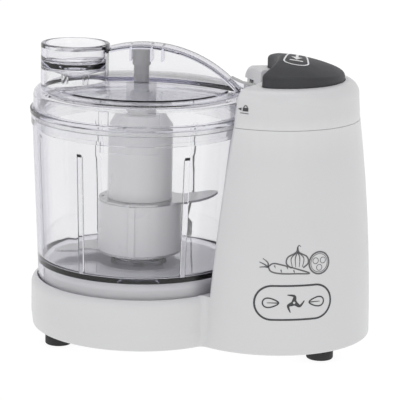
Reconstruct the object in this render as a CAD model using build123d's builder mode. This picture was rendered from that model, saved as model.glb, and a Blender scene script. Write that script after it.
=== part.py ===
"""Mini food processor: a belt-driven chopping bowl beside a motor tower.

Frame: +Z up, -Y is the front, the bowl stands towards -X and the tower towards +X.
The origin is the middle of the footprint at the bottom of the feet. All sizes in millimetres.
"""

import os
from math import cos, radians, sin

from build123d import *

os.makedirs("parts", exist_ok=True)

# ---------------------------------------------------------------- driving dimensions
AXIS_GAP = 73.5  # bowl axis to tower axis
RIM_R = 60.5  # flange of the lid, the widest ring of the bowl side
TOWER_R = 55.3  # tower at its foot
TOWER_MID_R = 52.3  # tower at half height
TOWER_TOP_R = 46.15  # tower at the seam under its cap
LOBE_R = 59.3  # round base under the bowl
MOTOR_OFFSET = 21.0  # motor axis beyond the tower axis

FOOT_H = 7.0
BASE_TOP = 35.2  # shoulder of the round base
SEAM_Z = 127.0  # joint between the tower and its cap
CAP_TOP = 148.0
WALL = 2.5  # opaque mouldings
WAIST_ROUND = 3.5  # inward corners between base and tower
CUSP_ROUND = 1.8  # rising edges of the face that wraps round the bowl
FOOT_ROUND = 1.2
FIT = 0.2  # gap between mouldings that are fastened together

BOWL_X = (RIM_R - AXIS_GAP - TOWER_R) / 2
TOWER_X = BOWL_X + AXIS_GAP
MOTOR_X = TOWER_X + MOTOR_OFFSET
TOWER_MID_Z = 71.0

# the face of the tower that wraps round the bowl: a cone about the bowl axis
WRAP_R = 61.1
WRAP_DRAFT = 0.0556

# bowl and lid, radii about the bowl axis
BOWL_FOOT_Z = 26.8
BOWL_FLOOR_Z = 45.6
BOWL_TOP_Z = 126.1
COLLAR_Z = 120.5
COLLAR_R = 59.9
BOWL_R = 55.6  # outside of the bowl at the base shoulder
BOWL_DRAFT = 0.043
CLEAR_WALL = 2.4  # clear mouldings
SOCKET_R = 56.2  # recess in the base that takes the foot of the bowl
BOSS_R = 52.0  # round boss inside that recess
BOSS_TOP = 41.5
GROOVE_Z = 26.5
TUBE_R = 13.9  # chimney in the middle of the bowl floor
TUBE_TOP = 60.0

# lid
LID_FLANGE_Z = 126.4
LID_FLANGE_TOP = 128.9
LID_WALL_R = 58.8
LID_DOME_Z = 144.2
LID_DOME_R = 48.2
LID_T = 2.2
CUP_X = -36.4  # oil cup, from the bowl axis
CUP_R = 18.8
CUP_TOP = 163.2
ARCH_R = 69.5
ARCH_X = 2.0  # centre of the arch, from the bowl axis
ARCH_TOP = 164.0
ARCH_W = 16.0
ARCH_T = 2.2
TAB_W = 9.0
TAB_R = 70.8  # far end of the locking tab
POCKET_R = 71.6
POCKET_Z = 131.8
TURN = 12.0  # degrees that the lid turns to unlock

# drive
BELT_Z = 18.0  # middle of the belt
BELT_W = 7.0
BELT_T = 1.6
BELT_GAP = 0.15
BIG_PULLEY_R = 32.0
SMALL_PULLEY_R = 8.0
SPINDLE_R = 3.0
SHAFT_R = 2.5
RUNNING = 0.05  # radial clearance of shafts in their bushes
HUB_R = 22.7
HUB_FOOT_Z = 50.0
HUB_WAIST_Z = 77.6
POST_R = 17.8
POST_SHOULDER_Z = 119.5
POST_TOP = 125.5
STEM_R = 8.25
STEM_TOP = 141.2
BLADE_T = 1.2

# button
BUTTON_R = 37.0
BUTTON_CUT_R = 73.9  # concave side, about the bowl axis
BUTTON_TOP = 159.6
CREST_X = BOWL_X + 72.2  # highest point of the button
CREST_R = 92.0  # arch of the crest from side to side
ROLL_R = 120.0  # arch of the top from front to back
BUTTON_FOOT = 141.5
BUTTON_TRAVEL = 4.0
BUTTON_GAP = 0.4
SPRING_X = TOWER_X + 26.0
BRACKET_Z = 117.2  # plate inside the tower that carries the switches
BRACKET_T = 2.5
PLATE_Z = 33.0  # steel plate that carries the motor
PLATE_T = 2.0
BOARD_X = TOWER_X + 14.5
BOARD_Y = 31.0
BOARD_Z = 40.0
BOARD_L = 30.0
BOARD_H = 34.0
BOARD_T = 1.6
COVER_TOP = FOOT_H + 2.5
SWITCH_X = TOWER_X + 18.0
SWITCH_Y = 20.0
SWITCH_H = 10.2
SWITCH_KEY = 1.1  # height of its key
PLUNGER_Z = 134.4
PLUNGER_R = 1.8
PLUNGER_TIP_X = BOWL_X + TAB_R + 0.6
PLUNGER_L = 12.0
INTERLOCK_X = PLUNGER_TIP_X + PLUNGER_L + 0.8 + 3.0
INTERLOCK_Z = 130.4
GLAND_Z = 20.0
GLAND_R = 5.0
GLAND_BORE_R = 3.3
SCREW_R = 1.5
HEAD_R = 3.0
THREAD_GAP = 0.05

FOOT_PLACES = [
    (BOWL_X - 41.0, -25.0),
    (BOWL_X - 41.0, 25.0),
    (TOWER_X + 29.0, -31.0),
    (TOWER_X + 29.0, 31.0),
]


def around(x, radius, degrees):
    """Point at an angle on a circle about an upright axis at x."""
    return (x + radius * cos(radians(degrees)), radius * sin(radians(degrees)))


COVER_SCREWS = [around(BOWL_X, 51.0, a) for a in (128, 232)]
COVER_SCREWS += [around(TOWER_X, 49.4, a) for a in (-68, 68)]
CAP_ANGLES = (-75, 0, 75)
CAP_SCREWS = [around(TOWER_X, 39.6, a) for a in CAP_ANGLES]
MOUNT_SCREWS = [around(TOWER_X, 48.4, a) for a in (-112, -33, 33, 112)]
MOTOR_SCREWS = [(MOTOR_X, -12.0), (MOTOR_X, 12.0)]
VENT_YS = [-20, -12, -4, 4, 12, 20]


def section(x):
    """Upright plane through an upright axis at x: profiles in radius and height."""
    return Plane(origin=(x, 0, 0), x_dir=(1, 0, 0), z_dir=(0, -1, 0))


def radial(x, degrees):
    """Upright plane through an upright axis at x, turned to an angle."""
    a = radians(degrees)
    return Plane(origin=(x, 0, 0), x_dir=(cos(a), sin(a), 0), z_dir=(sin(a), -cos(a), 0))


def upright(x):
    return Axis((x, 0, 0), (0, 0, 1))


def level(x, z, y=0.0):
    return Plane(origin=(x, y, z))


def wrap_r(z):
    """Radius of the tower's concave face at a height."""
    return WRAP_R + WRAP_DRAFT * (z - BASE_TOP)


def bowl_r(z):
    """Outside radius of the bowl wall at a height."""
    return BOWL_R + BOWL_DRAFT * (z - BASE_TOP)


def spun(x, points, round_at=(), radius=0.0):
    """Solid of revolution of a closed outline in radius and height, some corners rounded."""
    with BuildPart() as body:
        with BuildSketch(section(x)) as outline:
            with BuildLine():
                Polyline(*points, close=True)
            make_face()
            for r, z in round_at:
                fillet(outline.vertices().sort_by_distance((r, z, 0))[0], radius)
        revolve(axis=upright(x))
    return body.part


def tower_form(inset, bottom):
    """The tapering round tower up to the seam, drawn in by inset."""
    with BuildPart() as form:
        with BuildSketch(section(TOWER_X)):
            with BuildLine():
                Line((0, SEAM_Z), (0, bottom))
                Line((0, bottom), (TOWER_R - inset, bottom))
                ThreePointArc(
                    (TOWER_R - inset, bottom),
                    (TOWER_MID_R - inset, TOWER_MID_Z),
                    (TOWER_TOP_R - inset, SEAM_Z),
                )
                Line((TOWER_TOP_R - inset, SEAM_Z), (0, SEAM_Z))
            make_face()
        revolve(axis=upright(TOWER_X))
    return form.part


def wrap_cutter(outset, bottom, top):
    """Cone about the bowl axis that hollows the side of the tower."""
    return spun(BOWL_X, [
        (0, bottom), (wrap_r(bottom) + outset, bottom),
        (wrap_r(top) + outset, top), (0, top)])


def sector(inner, outer, start, sweep, bottom, top):
    """Part of a ring about the bowl axis."""
    with BuildPart() as body:
        with BuildSketch(radial(BOWL_X, start)):
            with BuildLine():
                Polyline((inner, bottom), (outer, bottom), (outer, top), (inner, top), close=True)
            make_face()
        revolve(axis=upright(BOWL_X), revolution_arc=sweep)
    return body.part


def finish(part, name):
    part.label = name
    export_step(part, f"parts/{name}.step")


def button_block(grow, bottom, top):
    """Upright block on the plan of the button, grown outwards."""
    with BuildPart() as block:
        with BuildSketch(level(TOWER_X, bottom)) as plan:
            Circle(BUTTON_R + grow)
            with Locations((-AXIS_GAP, 0)):
                Circle(BUTTON_CUT_R - grow, mode=Mode.SUBTRACT)
            fillet(plan.vertices(), 5.0 + grow)
        extrude(amount=top - bottom)
    return block.part


def crown(lowered):
    """Barrel that shapes the top of the button, arched both ways about its highest point."""
    axis_z = BUTTON_TOP - ROLL_R
    with BuildPart() as barrel:
        with BuildSketch(section(CREST_X)):
            with Locations((0, BUTTON_TOP - CREST_R)):
                Circle(CREST_R - lowered)
            with Locations((0, axis_z - CREST_R)):
                Rectangle(2 * CREST_R, 2 * CREST_R, mode=Mode.SUBTRACT)
        revolve(axis=Axis((CREST_X, 0, axis_z), (1, 0, 0)))
    return barrel.part


def screws(places, head_z, length, shank_r=SCREW_R, head_r=HEAD_R, head_h=1.8):
    """Cross-head screws pointing up, their heads hanging below head_z."""
    with BuildPart() as group:
        for x, y in places:
            with BuildSketch(level(x, head_z - head_h, y)):
                Circle(head_r)
            extrude(amount=head_h)
            with BuildSketch(level(x, head_z, y)):
                Circle(shank_r)
            extrude(amount=length)
            with BuildSketch(level(x, head_z - head_h, y)):
                Rectangle(head_r * 1.2, 0.6)
                Rectangle(0.6, head_r * 1.2)
            extrude(amount=head_h * 0.6, mode=Mode.SUBTRACT)
    return group.part


def rods(places, bottom, top, radius):
    """Upright rods, used as bosses and as holes."""
    with BuildPart() as group:
        for x, y in places:
            with BuildSketch(level(x, bottom, y)):
                Circle(radius)
            extrude(amount=top - bottom)
    return group.part


def tube(x, inner, outer, bottom, top):
    return spun(x, [(inner, bottom), (outer, bottom), (outer, top), (inner, top)])


# ---------------------------------------------------------------- housing
LOBE_CEILING = GROOVE_Z - WALL
BOSS_CEILING = BOSS_TOP - WALL
COVER_BOSS_Z = COVER_TOP + 2 + FIT
BUSH_R = 5.5

lobe = spun(BOWL_X, [
    (0, FOOT_H), (LOBE_R - 0.9, FOOT_H), (LOBE_R, 15), (LOBE_R, BASE_TOP), (0, BASE_TOP)],
    [(LOBE_R, BASE_TOP)], 5)
lobe_hollow = spun(BOWL_X, [
    (0, FOOT_H), (LOBE_R - WALL, FOOT_H), (LOBE_R - WALL, LOBE_CEILING),
    (BOSS_R - WALL, LOBE_CEILING), (BOSS_R - WALL, BOSS_CEILING), (0, BOSS_CEILING)])
ring_walls = spun(BOWL_X, [
    (0, LOBE_CEILING), (SOCKET_R + WALL, LOBE_CEILING),
    (SOCKET_R + WALL, BASE_TOP - WALL), (0, BASE_TOP - WALL)])
bowl_boss = spun(BOWL_X, [
    (0, BASE_TOP - 8), (BOSS_R, BASE_TOP - 8), (BOSS_R, BOSS_TOP), (0, BOSS_TOP)],
    [(BOSS_R, BOSS_TOP)], 3)
spindle_tube = spun(BOWL_X, [
    (0, LOBE_CEILING), (8.5, LOBE_CEILING), (9.5, BOSS_TOP), (8.5, BOSS_TOP + 1.5),
    (0, BOSS_TOP + 1.5)])

with BuildPart() as tower_hollow:
    add(tower_form(WALL, FOOT_H))
    add(wrap_cutter(WALL, BASE_TOP - WALL, SEAM_Z), mode=Mode.SUBTRACT)
    add(ring_walls, mode=Mode.SUBTRACT)

with BuildPart() as board_rails:
    for x in (BOARD_X - BOARD_L / 2 - 0.7, BOARD_X + BOARD_L / 2 + 0.7):
        with BuildSketch(level(x, BOARD_Z - 2, BOARD_Y + 10)):
            Rectangle(3, 24)
        extrude(amount=BOARD_H + 2)
    with BuildSketch(level(BOARD_X, BOARD_Z - 0.1, BOARD_Y + BOARD_T / 2)):
        Rectangle(BOARD_L + 0.2, BOARD_T + 0.2)
    extrude(amount=BOARD_H + 1, mode=Mode.SUBTRACT)
    add(tower_form(1.0, FOOT_H), mode=Mode.INTERSECT)


def cusp_edges(part, lowest, tallest):
    """The two rising edges where the tower's concave face meets its round outside."""
    return [e for e in part.edges()
            if e.bounding_box().size.Z > tallest and e.bounding_box().min.Z > lowest]


def waist_edges(part):
    """Edges in the two inward corners between the round base and the foot of the tower."""
    return [e for e in part.edges().filter_by(GeomType.BSPLINE)
            if e.bounding_box().max.Z < BASE_TOP + 0.1 and e.bounding_box().size.Z > 1]


with BuildPart() as outer_form:
    add(lobe)
    add(tower_form(0, FOOT_H))
    add(wrap_cutter(0, BASE_TOP, SEAM_Z), mode=Mode.SUBTRACT)
    fillet(waist_edges(outer_form.part), WAIST_ROUND)
    fillet(cusp_edges(outer_form.part, BASE_TOP - 1, 50), CUSP_ROUND)
    fillet(outer_form.edges().group_by(Axis.Z)[0], FOOT_ROUND)

with BuildPart() as base_housing:
    add(outer_form.part)
    add(bowl_boss)
    add(tube(BOWL_X, BOSS_R, SOCKET_R, GROOVE_Z, BASE_TOP + 1), mode=Mode.SUBTRACT)
    add(lobe_hollow, mode=Mode.SUBTRACT)
    add(tower_hollow.part, mode=Mode.SUBTRACT)
    add(spindle_tube)
    add(rods(COVER_SCREWS[:2], COVER_BOSS_Z, LOBE_CEILING + 1, 3.8))
    add(rods(COVER_SCREWS[2:], COVER_BOSS_Z, LOBE_CEILING, 3.9))
    add(rods(MOUNT_SCREWS, 22.5, PLATE_Z - 2, 4.4))
    with BuildSketch(Plane.XY.offset(BRACKET_Z - 4)):
        for angle in CAP_ANGLES:
            with Locations(Location((*around(TOWER_X, 41.2, angle), 0), angle)):
                Rectangle(9, 8)
    extrude(amount=4 - FIT / 2)
    add(board_rails.part)
    add(rods(COVER_SCREWS, FOOT_H, 21, SCREW_R + THREAD_GAP), mode=Mode.SUBTRACT)
    add(rods(MOUNT_SCREWS, 23.5, PLATE_Z, 1.8 + THREAD_GAP), mode=Mode.SUBTRACT)
    add(rods(CAP_SCREWS, BRACKET_Z - 5, BRACKET_Z, SCREW_R + 0.3), mode=Mode.SUBTRACT)
    add(rods([(BOWL_X, 0)], LOBE_CEILING - 1, BOSS_TOP + 2, BUSH_R), mode=Mode.SUBTRACT)
    # hole for the cord gland at the back of the tower
    with BuildSketch(Plane(origin=(TOWER_X, 45, GLAND_Z), z_dir=(0, 1, 0))):
        Circle(GLAND_R + 0.05)
    extrude(amount=20, mode=Mode.SUBTRACT)
finish(base_housing.part, "base_housing")

# ---------------------------------------------------------------- cap of the tower
POCKET_START = -5.4
POCKET_SWEEP = TURN + 10.6
BACK_WALL_R = BUTTON_CUT_R - BUTTON_GAP
CAP_R = 46.0
CAP_BEND_Z = 139.5  # the cap narrows up to here, then stands straight
CAP_ROUND = 7.5  # shoulder of the cap
SLOT_START = 27.0  # guide slot at the back of the concave face, degrees
SLOT_SWEEP = 14.0
SLOT_R = 69.4
SLOT_Z = (136.8, 140.5)

cap_hollow = spun(TOWER_X, [
    (0, SEAM_Z - 1), (CAP_R - WALL, SEAM_Z - 1), (CAP_R - WALL - 0.8, CAP_BEND_Z),
    (CAP_R - WALL - 0.8, CAP_TOP - WALL), (0, CAP_TOP - WALL)],
    [(CAP_R - WALL - 0.8, CAP_TOP - WALL)], 5)
pocket_angle = 2.2  # thickness of the pocket's end walls, degrees
pocket_walls = sector(
    60, BACK_WALL_R, POCKET_START - pocket_angle, POCKET_SWEEP + 2 * pocket_angle,
    POCKET_Z - 2.2, CAP_TOP)

with BuildPart() as cap_void:
    add(cap_hollow)
    add(wrap_cutter(WALL, SEAM_Z - 2, CAP_TOP), mode=Mode.SUBTRACT)
    add(pocket_walls, mode=Mode.SUBTRACT)

with BuildPart() as button_guide:
    add(button_block(2.0, 144.0, CAP_TOP - 1))
    add(button_block(BUTTON_GAP, 143.0, CAP_TOP), mode=Mode.SUBTRACT)

with BuildPart() as cap_form:
    add(spun(TOWER_X, [
        (0, SEAM_Z + FIT), (CAP_R, SEAM_Z + FIT), (CAP_R - 0.9, CAP_BEND_Z), (CAP_R - 0.9, CAP_TOP),
        (0, CAP_TOP)], [(CAP_R - 0.9, CAP_TOP)], CAP_ROUND))
    add(wrap_cutter(0, SEAM_Z - 1, CAP_TOP + 1), mode=Mode.SUBTRACT)
    fillet(cusp_edges(cap_form.part, SEAM_Z, 0.2), CUSP_ROUND)

with BuildPart() as top_cap:
    add(cap_form.part)
    add(cap_void.part, mode=Mode.SUBTRACT)
    add(button_guide.part)
    add(rods(CAP_SCREWS, BRACKET_Z + BRACKET_T + FIT / 2, CAP_TOP - WALL, 3.6))
    add(button_block(BUTTON_GAP, 136.0, CAP_TOP + 1), mode=Mode.SUBTRACT)
    add(sector(58, POCKET_R, POCKET_START, POCKET_SWEEP, POCKET_Z, CAP_TOP + 1), mode=Mode.SUBTRACT)
    add(sector(58, SLOT_R, SLOT_START, SLOT_SWEEP, *SLOT_Z), mode=Mode.SUBTRACT)
    add(rods(CAP_SCREWS, BRACKET_Z, BRACKET_Z + 14, SCREW_R + THREAD_GAP), mode=Mode.SUBTRACT)
    # bore of the interlock plunger through the back wall of the pocket
    with BuildSketch(Plane(origin=(BOWL_X + 68, 0, PLUNGER_Z), z_dir=(1, 0, 0))):
        Circle(PLUNGER_R + 0.1)
    extrude(amount=8, mode=Mode.SUBTRACT)
finish(top_cap.part, "top_cap")

cap_screws = screws(CAP_SCREWS, BRACKET_Z - 4, 16)
finish(cap_screws, "cap_screws")

# ---------------------------------------------------------------- underside
cover_form = tower_form(WALL + FIT, FOOT_H) + lobe_hollow
with BuildPart() as bottom_cover:
    with BuildSketch(Plane.XY.offset(FOOT_H)):
        with Locations((BOWL_X, 0)):
            Circle(LOBE_R - WALL - FIT)
        with Locations((TOWER_X, 0)):
            Circle(TOWER_R - WALL - FIT)
    extrude(amount=COVER_TOP - FOOT_H)
    add(rods(COVER_SCREWS, FOOT_H, COVER_TOP + 2, 5.0))
    add(rods(COVER_SCREWS, FOOT_H, FOOT_H + 2.3, HEAD_R + 0.3), mode=Mode.SUBTRACT)
    add(rods(COVER_SCREWS, FOOT_H, COVER_TOP + 3, SCREW_R + 0.3), mode=Mode.SUBTRACT)
    add(rods(FOOT_PLACES, FOOT_H, COVER_TOP + 1, 3.5), mode=Mode.SUBTRACT)
    with BuildSketch(Plane.XY.offset(FOOT_H)):
        for y in VENT_YS:
            with Locations((TOWER_X + 10, y)):
                SlotOverall(26, 2.4)
    extrude(amount=COVER_TOP - FOOT_H, mode=Mode.SUBTRACT)
    add(cover_form, mode=Mode.INTERSECT)
finish(bottom_cover.part, "bottom_cover")

cover_screws = screws(COVER_SCREWS, FOOT_H + 2.3, 11)
finish(cover_screws, "cover_screws")

with BuildPart() as rubber_feet:
    for x, y in FOOT_PLACES:
        with BuildSketch(level(x, 0, y)):
            Circle(7.3)
        extrude(amount=FOOT_H)
        with BuildSketch(level(x, FOOT_H, y)):
            Circle(3.4)
        extrude(amount=COVER_TOP - FOOT_H + 0.1)
        with BuildSketch(level(x, COVER_TOP + 0.1, y)):
            Circle(4.3)
        extrude(amount=1.4, taper=20)
    fillet(rubber_feet.edges().group_by(Axis.Z)[0], 1.0)
finish(rubber_feet.part, "rubber_feet")

with BuildPart() as cord_gland:
    with BuildSketch(Plane(origin=(TOWER_X, 50.2, GLAND_Z), z_dir=(0, 1, 0))):
        Circle(GLAND_R)
    extrude(amount=6)
    with BuildSketch(Plane(origin=(TOWER_X, TOWER_R + 0.1, GLAND_Z), z_dir=(0, 1, 0))):
        Circle(7.0)
    extrude(amount=3.4, taper=12)
    with BuildSketch(Plane(origin=(TOWER_X, 50.2, GLAND_Z), z_dir=(0, 1, 0))):
        Circle(6.2)
    extrude(amount=1.6)
    with BuildSketch(Plane(origin=(TOWER_X, 49.0, GLAND_Z), z_dir=(0, 1, 0))):
        Circle(GLAND_BORE_R)
    extrude(amount=12, mode=Mode.SUBTRACT)
finish(cord_gland.part, "cord_gland")

# ---------------------------------------------------------------- switch bracket and switches
SPRING_SEAT_Z = BRACKET_Z + BRACKET_T
SPRING_TOP_Z = 140.0
STEM_GUIDE_R = 3.1

with BuildPart() as switch_bracket:
    with BuildSketch(Plane.XY.offset(BRACKET_Z)):
        with Locations((TOWER_X, 0)):
            Circle(43.8)
        with Locations((BOWL_X, 0)):
            Circle(69.0, mode=Mode.SUBTRACT)
    extrude(amount=BRACKET_T)
    add(tube(SPRING_X, STEM_GUIDE_R, 5.4, BRACKET_Z - 6, SPRING_SEAT_Z + 3))
    add(rods([(SPRING_X, 0)], BRACKET_Z - 7, SPRING_SEAT_Z + 4, STEM_GUIDE_R), mode=Mode.SUBTRACT)
    add(rods(CAP_SCREWS, BRACKET_Z - 1, SPRING_SEAT_Z + 1, SCREW_R + 0.3), mode=Mode.SUBTRACT)
    # slot for the wires beside the circuit board
    with BuildSketch(Plane.XY.offset(BRACKET_Z)):
        with Locations((TOWER_X + 8, 30)):
            SlotOverall(14, 6)
    extrude(amount=BRACKET_T, mode=Mode.SUBTRACT)
    # pedestal of the interlock switch
    with BuildSketch(level(INTERLOCK_X, SPRING_SEAT_Z)):
        Rectangle(6, 16)
    extrude(amount=INTERLOCK_Z - SPRING_SEAT_Z)
finish(switch_bracket.part, "switch_bracket")

with BuildPart() as microswitch:
    with BuildSketch(level(SWITCH_X, SPRING_SEAT_Z, SWITCH_Y)):
        Rectangle(19.8, 6.4)
    extrude(amount=SWITCH_H)
    fillet(microswitch.edges().filter_by(Axis.Z), 0.8)
    with BuildSketch(level(SWITCH_X, SPRING_SEAT_Z + SWITCH_H, SWITCH_Y)):
        Rectangle(2.2, 2.2)
    extrude(amount=SWITCH_KEY)
    # mounting holes
    with BuildSketch(section(SWITCH_X).offset(4 - SWITCH_Y)):
        with Locations((-6, SPRING_SEAT_Z + 5), (6, SPRING_SEAT_Z + 5)):
            Circle(1.4)
    extrude(amount=-8, mode=Mode.SUBTRACT)
finish(microswitch.part, "microswitch")

with BuildPart() as interlock_switch:
    with BuildSketch(level(INTERLOCK_X, INTERLOCK_Z)):
        Rectangle(6, 13)
    extrude(amount=8)
    fillet(interlock_switch.edges().filter_by(Axis.Z), 0.6)
    with BuildSketch(Plane(origin=(INTERLOCK_X - 3, 0, PLUNGER_Z), z_dir=(-1, 0, 0))):
        Circle(1.1)
    extrude(amount=0.8)
finish(interlock_switch.part, "interlock_switch")

with BuildPart() as interlock_plunger:
    with BuildSketch(Plane(origin=(PLUNGER_TIP_X, 0, PLUNGER_Z), z_dir=(1, 0, 0))):
        Circle(PLUNGER_R)
    extrude(amount=PLUNGER_L)
    fillet(interlock_plunger.edges().group_by(Axis.X)[0], 1.4)
    with BuildSketch(Plane(origin=(BOWL_X + 77.2, 0, PLUNGER_Z), z_dir=(1, 0, 0))):
        Circle(2.6)
    extrude(amount=1.4)
finish(interlock_plunger.part, "interlock_plunger")

# ---------------------------------------------------------------- pulse button and its spring
with BuildPart() as button_hollow:
    add(button_block(-2.4, BUTTON_FOOT - 1, BUTTON_TOP))
    add(crown(2.4), mode=Mode.INTERSECT)

FINGER_Z = SPRING_SEAT_Z + SWITCH_H + SWITCH_KEY + BUTTON_TRAVEL + 0.3

with BuildPart() as button_ribs:
    add(tube(SPRING_X, 5.4, 8.8, SPRING_TOP_Z, BUTTON_TOP))
    add(rods([(SPRING_X, 0)], BRACKET_Z - 4, BUTTON_TOP, 3.0))
    add(rods([(SPRING_X, 0)], SPRING_TOP_Z + 4, BUTTON_TOP, 6.0))
    add(rods([(SWITCH_X, SWITCH_Y)], FINGER_Z, BUTTON_TOP, 2.2))
    add(crown(1.0), mode=Mode.INTERSECT)

with BuildPart() as pulse_button:
    add(button_block(0, BUTTON_FOOT, BUTTON_TOP + 4))
    add(crown(0), mode=Mode.INTERSECT)
    fillet(pulse_button.faces().sort_by(Axis.Z)[-1].edges(), 2.5)
    add(button_hollow.part, mode=Mode.SUBTRACT)
    add(button_ribs.part)
    # catches that stop the button lifting out of its guide
    with BuildSketch(Plane.XY.offset(BUTTON_FOOT)):
        for angle in (-35, 35):
            with Locations(Location((*around(TOWER_X, BUTTON_R, angle), 0), angle)):
                Rectangle(3.0, 8)
    extrude(amount=2.0)
finish(pulse_button.part, "pulse_button")

with BuildPart() as button_spring:
    coil_r = 7.0
    wire_r = 0.55
    with BuildLine() as coil:
        Helix(pitch=(SPRING_TOP_Z - SPRING_SEAT_Z - 2 * wire_r - 0.2) / 6,
              height=SPRING_TOP_Z - SPRING_SEAT_Z - 2 * wire_r - 0.2, radius=coil_r,
              center=(SPRING_X, 0, SPRING_SEAT_Z + wire_r + 0.1))
    with BuildSketch(Plane(coil.line @ 0, z_dir=coil.line % 0)):
        Circle(wire_r)
    sweep(path=coil.line)
finish(button_spring.part, "button_spring")

# ---------------------------------------------------------------- motor
CAN_R = 23.0
CAN_T = 1.6
CAN_Z = PLATE_Z + PLATE_T
CAN_H = 56.0
BRUSH_Z = CAN_Z + CAN_H
SHAFT_FOOT = 12.4
SHAFT_TOP = BRUSH_Z + 5.6
ROTOR_R = 18.0
ROTOR_Z = CAN_Z + 11
ROTOR_H = 30.0
COMMUTATOR_R = 8.0
BEARING_R = 6.0

with BuildPart() as motor_plate:
    with BuildSketch(Plane.XY.offset(PLATE_Z)):
        with Locations((TOWER_X, 0)):
            Circle(51.0)
        with Locations((BOWL_X, 0)):
            Circle(65.0, mode=Mode.SUBTRACT)
        with Locations((MOTOR_X, 0)):
            Circle(9.0, mode=Mode.SUBTRACT)
        with Locations((TOWER_X - 4, -32), (TOWER_X - 4, 32)):
            SlotOverall(12, 7, rotation=90, mode=Mode.SUBTRACT)
        with Locations(*MOUNT_SCREWS):
            Circle(1.8 + THREAD_GAP, mode=Mode.SUBTRACT)
        with Locations(*MOTOR_SCREWS):
            Circle(SCREW_R + THREAD_GAP, mode=Mode.SUBTRACT)
    extrude(amount=PLATE_T)
finish(motor_plate.part, "motor_plate")

with BuildPart() as mount_grommets:
    for x, y in MOUNT_SCREWS:
        with BuildSketch(level(x, PLATE_Z - 2, y)):
            Circle(3.5)
            Circle(1.8 + THREAD_GAP, mode=Mode.SUBTRACT)
        extrude(amount=2.0)
finish(mount_grommets.part, "mount_grommets")

with BuildPart() as mount_screws:
    for x, y in MOUNT_SCREWS:
        with BuildSketch(level(x, PLATE_Z + PLATE_T, y)):
            Circle(3.4)
        extrude(amount=2.2)
        with BuildSketch(level(x, 24.5, y)):
            Circle(1.8)
        extrude(amount=PLATE_Z + PLATE_T - 24.5)
        with BuildSketch(level(x, PLATE_Z + PLATE_T + 1, y)):
            Rectangle(4.4, 0.7)
            Rectangle(0.7, 4.4)
        extrude(amount=1.4, mode=Mode.SUBTRACT)
finish(mount_screws.part, "mount_screws")

with BuildPart() as motor_can:
    add(tube(MOTOR_X, CAN_R - CAN_T, CAN_R, CAN_Z, BRUSH_Z))
    add(tube(MOTOR_X, BEARING_R, CAN_R, CAN_Z, CAN_Z + 2))
    add(tube(MOTOR_X, BEARING_R, BEARING_R + 1.6, CAN_Z - 2.4, CAN_Z + 2))
    add(rods(MOTOR_SCREWS, CAN_Z - 1, CAN_Z + 3, SCREW_R + THREAD_GAP), mode=Mode.SUBTRACT)
finish(motor_can.part, "motor_can")

motor_screws = screws(MOTOR_SCREWS, PLATE_Z, PLATE_T + 3.4)
finish(motor_screws, "motor_screws")

with BuildPart() as motor_magnets:
    for start in (-70, 110):
        with BuildSketch(radial(MOTOR_X, start)):
            with BuildLine():
                Polyline(
                    (18.8, ROTOR_Z - 2), (CAN_R - CAN_T - 0.05, ROTOR_Z - 2),
                    (CAN_R - CAN_T - 0.05, ROTOR_Z + ROTOR_H + 2), (18.8, ROTOR_Z + ROTOR_H + 2),
                    close=True)
            make_face()
        revolve(axis=upright(MOTOR_X), revolution_arc=140)
finish(motor_magnets.part, "motor_magnets")

with BuildPart() as motor_bearings:
    for z in (CAN_Z - 2.4, BRUSH_Z + 0.4):
        add(tube(MOTOR_X, SHAFT_R + RUNNING, BEARING_R - 0.02, z, z + 4.2))
finish(motor_bearings.part, "motor_bearings")

with BuildPart() as brush_cap:
    add(tube(MOTOR_X, BEARING_R, CAN_R - 0.4, BRUSH_Z + 0.1, BRUSH_Z + 2.6))
    add(tube(MOTOR_X, BEARING_R, BEARING_R + 2, BRUSH_Z + 0.1, BRUSH_Z + 5.2))
    # boxes that guide the brushes
    with BuildSketch(Plane.XY.offset(BRUSH_Z - 8)):
        with Locations((MOTOR_X, -13.5), (MOTOR_X, 13.5)):
            Rectangle(7, 10)
            Rectangle(4.2, 10.2, mode=Mode.SUBTRACT)
    extrude(amount=8.2)
    # terminals
    with BuildSketch(Plane.XY.offset(BRUSH_Z + 2.6)):
        with Locations((MOTOR_X, -16), (MOTOR_X, 16)):
            Rectangle(4.8, 0.8)
    extrude(amount=6)
finish(brush_cap.part, "brush_cap")

with BuildPart() as carbon_brushes:
    with BuildSketch(Plane.XY.offset(BRUSH_Z - 7.4)):
        with Locations((MOTOR_X, -12.8), (MOTOR_X, 12.8)):
            Rectangle(4.0, 9.0)
    extrude(amount=6.0)
finish(carbon_brushes.part, "carbon_brushes")

# ---------------------------------------------------------------- rotor and belt drive
motor_shaft = spun(MOTOR_X, [
    (0, SHAFT_FOOT), (SHAFT_R - 0.4, SHAFT_FOOT), (SHAFT_R, SHAFT_FOOT + 0.4),
    (SHAFT_R, SHAFT_TOP), (0, SHAFT_TOP)])
finish(motor_shaft, "motor_shaft")

with BuildPart() as armature:
    with BuildSketch(Plane.XY.offset(ROTOR_Z)):
        with Locations((MOTOR_X, 0)):
            Circle(ROTOR_R)
            Circle(SHAFT_R, mode=Mode.SUBTRACT)
            with PolarLocations(ROTOR_R - 3.5, 10):
                Rectangle(8, 1.6, mode=Mode.SUBTRACT)
    extrude(amount=ROTOR_H)
finish(armature.part, "armature")

with BuildPart() as rotor_windings:
    for z0, z1 in ((ROTOR_Z - 5, ROTOR_Z), (ROTOR_Z + ROTOR_H, ROTOR_Z + ROTOR_H + 5)):
        add(spun(MOTOR_X, [
            (SHAFT_R, z0), (15.5, z0), (15.5, z1), (SHAFT_R, z1)]))
    fillet(rotor_windings.edges().filter_by(GeomType.CIRCLE).group_by(SortBy.RADIUS)[-1]
           .filter_by(lambda e: abs(e.center().Z - ROTOR_Z) > 1
                      and abs(e.center().Z - ROTOR_Z - ROTOR_H) > 1), 2.0)
finish(rotor_windings.part, "rotor_windings")

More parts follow.
